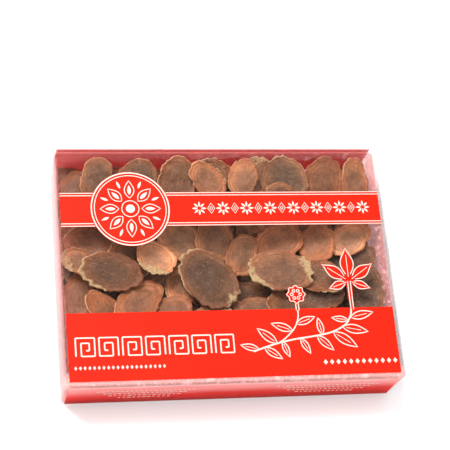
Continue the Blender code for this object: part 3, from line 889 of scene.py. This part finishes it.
red_ink = red_print()
front_ink_and_painted_shading = wall_print("front_wall_print", (0.36, 0.01, 0.004, 1), (0.75, 0.012, 0.005, 1))
# The back wall's red is painted lighter: painted light against the shade inside the box
back_ink_and_painted_shading = wall_print("back_wall_print", (0.9, 0.08, 0.065, 1), (1, 0.14, 0.125, 1))
PRINTS = (("narrow_print", "narrow_band", 2, red_ink), ("wide_print", "wide_band", 2, red_ink),
          ("front_print", "front_label", 1, front_ink_and_painted_shading), ("back_print", "back_label", 1, back_ink_and_painted_shading))
for name, cad_name, axis, ink in PRINTS:
    add_piece(name, print_mesh(name, cad_name, axis), ink, "label_red", cad_name)

# The white print on the red: lines, a flower badge, rows of ornaments, a leafy sprig drawn
# in lines, and rows of small dashes, laid on in a thin layer of white ink. Its places and
# sizes are in mm, on the lid's top and on the front wall.
INK_THICKNESS = 0.07 * MM
INK_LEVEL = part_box("lid")[1].z + PRINT_GAP + PRINT_THICKNESS + INK_THICKNESS * 0.4
FRONT_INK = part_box("lid")[0].y - PRINT_GAP - PRINT_THICKNESS - INK_THICKNESS * 0.4
LAYER_STEP = 0.015 * MM
INK_HEIGHT = INK_LEVEL / MM
NARROW_BAND = (20.5, 40.0)
WIDE_BAND_EDGE = -27.5
BAND_END = 87.5
BADGE = Vector((-50.3, 30.6))
BADGE_RADIUS = 21.3
BADGE_PETALS = 8
FLOWERS, FLOWER_SPACING = 8, 13
FIRST_FLOWER, FLOWER_LINE = -13, 30.5
LOZENGE = ((0, -3), (1.9, 0), (0, 3), (-1.9, 0), (0, -3))
FRETS, FRET_SPACING = 7, 12.1
FIRST_FRET, FRET_LINE = -78.6, -45.8
FRET = ((-4.9, -4.9), (-4.9, 4.9), (4.9, 4.9), (4.9, -4.9), (-2.1, -4.9), (-2.1, 2.1), (2.1, 2.1),
        (2.1, -1.9), (0.4, -1.9))
# Rows of beads: half width and half height of a bead, the row's ends, its level and its count
BEAD_ROWS = (("left_beads", 0.75, 1.1, -84, -38.5, -57, 20),
             ("right_beads", 1.15, 1.5, 47, 85, -57.3, 12))
LEAF = Vector((65.0, -12.5))
LEAFLETS = (13, 18, 20, 18, 13)
FIRST_LEAFLET_TURN, LEAFLET_SPREAD = -20, 55
BERRY_HEAD = Vector((35.0, -19.5))
BERRY_HEAD_RADIUS, SCALLOPS, HEAD_STEPS = 4.55, 8, 48
BERRIES, BERRY_REACH, BERRY_RADIUS = 6, 2.3, 0.75
STALK = ((64.3, -28.5), (63.5, -32), (60, -37), (52, -41), (42, -43), (31, -44.5), (20, -47),
         (9, -50.5))
BERRY_STALK = ((35, -28.5), (34.6, -33), (32, -38.5), (27, -43.5), (23, -46.2))
# Leaves of the sprig: each one's foot, its turn in degrees and its length
SPRIG_LEAVES = ((58.4, -38.2, -12, 14), (53, -41, -35, 15), (47, -42.2, 100, 9.5),
                (44, -42.8, -45, 11.5), (35, -44, -62, 9.5), (25, -45.6, -70, 9),
                (22, -46.4, 140, 13), (15, -48.6, -35, 11), (12, -49.4, 165, 10),
                (33.5, -36, 20, 11), (31, -39.5, 160, 12), (61.8, -34.5, 170, 9),
                (63.4, -33, 12, 13))
DASH_BLOCKS = ((-72, -22), (23, 77))
DASH_INSETS = (0, 4, 7, 12)
DASH_TOP, DASH_ROW_SPACING, DASH_SPACING = 21, 3.6, 2.3


def strokes_tree():
    """Strokes of ink with a flat section along the lines of a mesh."""
    inputs = {"Line width": "Float", "Ink thickness": "Float", "Material": "Material"}
    tree, given = new_growth("ink_strokes", inputs)
    curves = node(tree, "GeometryNodeMeshToCurve", {"Mesh": given["Geometry"]})
    level = node(tree, "GeometryNodeSetCurveNormal", {"Curve": curves}, mode="Z_UP")
    section = node(tree, "GeometryNodeCurvePrimitiveQuadrilateral",
                   {"Width": given["Line width"], "Height": given["Ink thickness"]})
    body = node(tree, "GeometryNodeCurveToMesh",
                {"Curve": level, "Profile Curve": section, "Fill Caps": True})
    end_growth(tree, body, given["Material"])
    return tree


def row_tree():
    """One motif repeated along a straight line, each stretched a little by chance."""
    inputs = {"Motif": "Object", "Start": "Vector", "End": "Vector", "Count": "Int",
              "Turn": "Rotation", "Least stretch": "Float", "Most stretch": "Float",
              "Seed": "Int", "Material": "Material"}
    tree, given = new_growth("row_of_ornaments", inputs)
    ends = {"Start": given["Start"], "End": given["End"]}
    line = node(tree, "GeometryNodeCurvePrimitiveLine", ends)
    points = node(tree, "GeometryNodeResampleCurve", {"Curve": line, "Count": given["Count"]})
    motif = node(tree, "GeometryNodeObjectInfo", {"Object": given["Motif"]}).other("Geometry")
    stretch = draw_value(tree, given["Least stretch"], given["Most stretch"], given["Seed"])
    row = node(tree, "GeometryNodeInstanceOnPoints",
               {"Points": points, "Instance": motif, "Rotation": given["Turn"],
                "Scale": vector_of(tree, stretch, 1.0, 1.0)})
    end_growth(tree, row, given["Material"])
    return tree


def white_print():
    """White ink, a little warm where the red shows through."""
    material, tree = new_tree("white_print")
    thin = cloud(tree, 900, 3)
    colour = blend(tree, thin.step(0.45, 0.8), (0.6, 0.51, 0.44, 1), (0.62, 0.34, 0.28, 1))
    show(tree, principled(tree, Base_Color=colour, Roughness=0.45 + thin * 0.1, IOR=1.3))
    return material


white_ink = white_print()
draw_strokes, draw_row = strokes_tree(), row_tree()


def add_strokes(name, lines, width, level=INK_LEVEL):
    """Ink strokes along lines given in mm; a line that ends where it starts is a loop."""
    points, edges = [], []
    for line in lines:
        start = len(points)
        loop = (Vector(line[0]) - Vector(line[-1])).length < 0.001
        flat = line[:-1] if loop else line
        points += [(x * MM, y * MM, level) for x, y in flat]
        edges += [(start + i, start + i + 1) for i in range(len(flat) - 1)]
        edges += [(len(points) - 1, start)] if loop else []
    drawing = bpy.data.meshes.new(f"{name}_lines")
    drawing.from_pydata(points, edges, [])
    values = {"Line width": width * MM, "Ink thickness": INK_THICKNESS, "Material": white_ink}
    return add_print(name, grown(name, draw_strokes, values, drawing))


def add_print(name, mesh):
    """White print on the lid, flat shaded."""
    mesh.shade_flat()
    return add_piece(name, mesh, white_ink, "print_white")


def plates_mesh(name, outlines, level=0.0):
    """Flat closed plates of ink cut to outlines given in mm, counterclockwise."""
    points, faces = [], []
    for outline in outlines:
        start, count = len(points), len(outline)
        for height in (-0.5, 0.5):
            points += [(x * MM, y * MM, level + height * INK_THICKNESS) for x, y in outline]
        upper = range(start + count, start + 2 * count)
        faces += [tuple(upper), tuple(range(start + count - 1, start - 1, -1))]
        for i in range(count):
            j = (i + 1) % count
            faces.append((start + i, start + j, start + count + j, start + count + i))
    mesh = bpy.data.meshes.new(name)
    mesh.from_pydata(points, [], faces)
    return mesh


def add_row(name, motif, start, end, count, turn=0.0, stretch=(1.0, 1.0), seed=0):
    """A row of one motif between two places in mm."""
    holder = bpy.data.objects.new(f"{name}_motif", motif)
    turned = Matrix.Rotation(turn, 4, "X").to_euler()
    values = {"Motif": holder, "Start": [c * MM for c in start], "End": [c * MM for c in end],
              "Count": count, "Turn": tuple(turned), "Least stretch": stretch[0],
              "Most stretch": stretch[1], "Seed": seed, "Material": white_ink}
    return add_print(name, grown(name, draw_row, values))


def circle(centre, radius, count=64):
    """A loop round a centre."""
    turns = [math.tau * i / count for i in range(count + 1)]
    return [(centre[0] + radius * math.cos(t), centre[1] + radius * math.sin(t)) for t in turns]


def pointed_oval(base, degrees, length, half, count=9):
    """A leaf's outline from its base round its tip and back, counterclockwise."""
    along, across = heading(degrees)
    base = Vector(base)
    shares = [i / (count - 1) for i in range(count)]
    side = [(t * length, half * math.sin(math.pi * t ** 0.85)) for t in shares]
    near = [base + along * a + across * b for a, b in side]
    far = [base + along * a - across * b for a, b in reversed(side[1:-1])]
    return [tuple(p) for p in near + far]


def smooth_path(points, steps=8):
    """A soft line through points."""
    ends = [Vector(points[0]), *map(Vector, points), Vector(points[-1])]
    path = []
    for a, b, c, d in zip(ends, ends[1:], ends[2:], ends[3:]):
        for i in range(steps):
            t = i / steps
            path.append(0.5 * (2 * b + (c - a) * t + (2 * a - 5 * b + 4 * c - d) * t ** 2
                               + (3 * b - a - 3 * c + d) * t ** 3))
    return [tuple(p) for p in path] + [tuple(points[-1])]


def chamfered(points, cut=0.35):
    """A line with its corners cut, which keeps the stroke's width round them."""
    path = [points[0]]
    for before, corner, after in zip(points, points[1:], points[2:]):
        here = Vector(corner)
        for other in (before, after):
            path.append(tuple(here + (Vector(other) - here).normalized() * cut))
    return path + [points[-1]]


# Lines along the narrow band, which stop at the badge, and the badge's rings
band_lines = []
for edge, inwards in ((NARROW_BAND[0], 1), (NARROW_BAND[1], -1)):
    for inset in (0.35, 1.75):
        y = edge + inwards * inset
        gap = math.sqrt((BADGE_RADIUS + 0.3) ** 2 - (y - BADGE.y) ** 2)
        band_lines += [[(-BAND_END, y), (BADGE.x - gap, y)], [(BADGE.x + gap, y), (BAND_END, y)]]
add_strokes("band_lines", band_lines, 0.45)
add_strokes("badge_rings", [circle(BADGE, BADGE_RADIUS - 0.5, 96)], 0.7)
inner_rings = [circle(BADGE, BADGE_RADIUS - 2.1, 96), circle(BADGE, 4.6, 48)]
add_strokes("badge_inner_ring", inner_rings, 0.45)


def round_badge(first, reach, length, half):
    """Pointed ovals round the badge's middle, pointing outwards."""
    turns = [first + 360 * i / BADGE_PETALS for i in range(BADGE_PETALS)]
    return [pointed_oval(BADGE + heading(turn)[0] * reach, turn, length, half) for turn in turns]


petals = round_badge(0, 8, 5.6, 1.0) + round_badge(22.5, 12.6, 4.6, 0.7)
petals.append(circle(BADGE, 2.4, 24)[:-1])
add_print("badge_flower", plates_mesh("badge_flower", petals, INK_LEVEL))
add_strokes("badge_petals", [leaf + leaf[:1] for leaf in round_badge(0, 6.2, 10, 2.6)], 0.45)

# Flowers and lozenges in turn along the narrow band
flower = [pointed_oval(heading(turn)[0] * 0.9, turn, 3.1, 0.55, 7) for turn in range(0, 360, 45)]
last_flower = FIRST_FLOWER + FLOWER_SPACING * (FLOWERS - 1)
add_row("band_flowers", plates_mesh("flower", flower), (FIRST_FLOWER, FLOWER_LINE, INK_HEIGHT),
        (last_flower, FLOWER_LINE, INK_HEIGHT), FLOWERS)
lozenges = []
for i in range(FLOWERS - 1):
    middle = FIRST_FLOWER + FLOWER_SPACING * (i + 0.5)
    for size in (1, 0.4):
        lozenges.append([(middle + size * x, FLOWER_LINE + size * y) for x, y in LOZENGE])
add_strokes("band_lozenges", lozenges, 0.42)

# Squares of key fret, every other one mirrored, then two rows of small beads, on the wide band
fret_lines = []
for i in range(FRETS):
    side = 1 if i % 2 == 0 else -1
    middle = FIRST_FRET + FRET_SPACING * i
    fret_lines.append([(middle + x * side, FRET_LINE + y) for x, y in chamfered(FRET)])
add_strokes("key_frets", fret_lines, 0.8)
for name, half_x, half_y, left, right, level, count in BEAD_ROWS:
    bead = [[(0, -half_y), (half_x, 0), (0, half_y), (-half_x, 0)]]
    add_row(name, plates_mesh("bead", bead), (left, level, INK_HEIGHT),
            (right, level, INK_HEIGHT), count)

# The leaf and the berries drawn in lines, and the sprig they stand on
outlines, veins = [], []
for i, length in enumerate(LEAFLETS):
    along, across = heading(FIRST_LEAFLET_TURN + LEAFLET_SPREAD * i)
    shares = [0.2 + 0.08 * k for k in range(9)]
    side = [(t * length, length * 0.2 * math.sin(math.pi * t) ** 1.6 - 0.35) for t in shares]
    side.append((length - 1.0, 0))
    near = [LEAF + along * a + across * max(b, 0) for a, b in side]
    far = [LEAF + along * a - across * max(b, 0) for a, b in reversed(side[:-1])]
    outlines.append([tuple(p) for p in near + far])
    veins.append([tuple(LEAF + along * length * t) for t in (0.12, 0.75)])
for head, top in ((LEAF, 0.0), (BERRY_HEAD, -5.2)):
    for x in (head.x - 0.75, head.x + 0.75):
        outlines.append([(x, WIDE_BAND_EDGE - 1), (x, head.y + top)])
scalloped = []
for i in range(HEAD_STEPS + 1):
    turn = math.tau * i / HEAD_STEPS
    reach = BERRY_HEAD_RADIUS * (1 + 0.1 * math.cos(SCALLOPS * turn))
    scalloped.append((BERRY_HEAD.x + reach * math.cos(turn),
                      BERRY_HEAD.y + reach * math.sin(turn)))
berries = [circle(BERRY_HEAD + heading(360 * i / BERRIES)[0] * BERRY_REACH, BERRY_RADIUS, 12)
           for i in range(BERRIES)]
sprig = []
for x, y, turn, length in SPRIG_LEAVES:
    leaf = pointed_oval((x, y), turn, length, length * 0.17)
    sprig.append(leaf + leaf[:1])
    tip = heading(turn)[0] * length * 0.72
    veins.append([(x + tip.x * 0.2, y + tip.y * 0.2), (x + tip.x, y + tip.y)])
add_strokes("leaf_outlines", outlines, 0.5)
add_strokes("berry_lines", [scalloped, *berries], 0.45)
add_strokes("sprig_stalk", [smooth_path(STALK)], 0.9)
add_strokes("berry_stalk", [smooth_path(BERRY_STALK)], 0.7, INK_LEVEL + LAYER_STEP)
add_strokes("sprig_leaves", sprig, 0.6, INK_LEVEL + 2 * LAYER_STEP)
add_strokes("leaf_veins", veins, 0.35)

# Rows of dashes on the front wall
dash = [[(-0.8, -0.4), (0.8, -0.4), (0.8, 0.4), (-0.8, 0.4)]]
for block, (left, right) in enumerate(DASH_BLOCKS):
    for row, inset in enumerate(DASH_INSETS):
        level = DASH_TOP - row * DASH_ROW_SPACING
        start, end = ((x, FRONT_INK / MM, level) for x in (left + inset, right - inset))
        count = int((right - left - 2 * inset) / DASH_SPACING)
        add_row(f"front_dashes_{block}_{row}", plates_mesh("dash", dash), start, end, count,
                math.pi / 2, (0.5, 1.35), 5 + block * 4 + row)

bpy.context.view_layer.update()
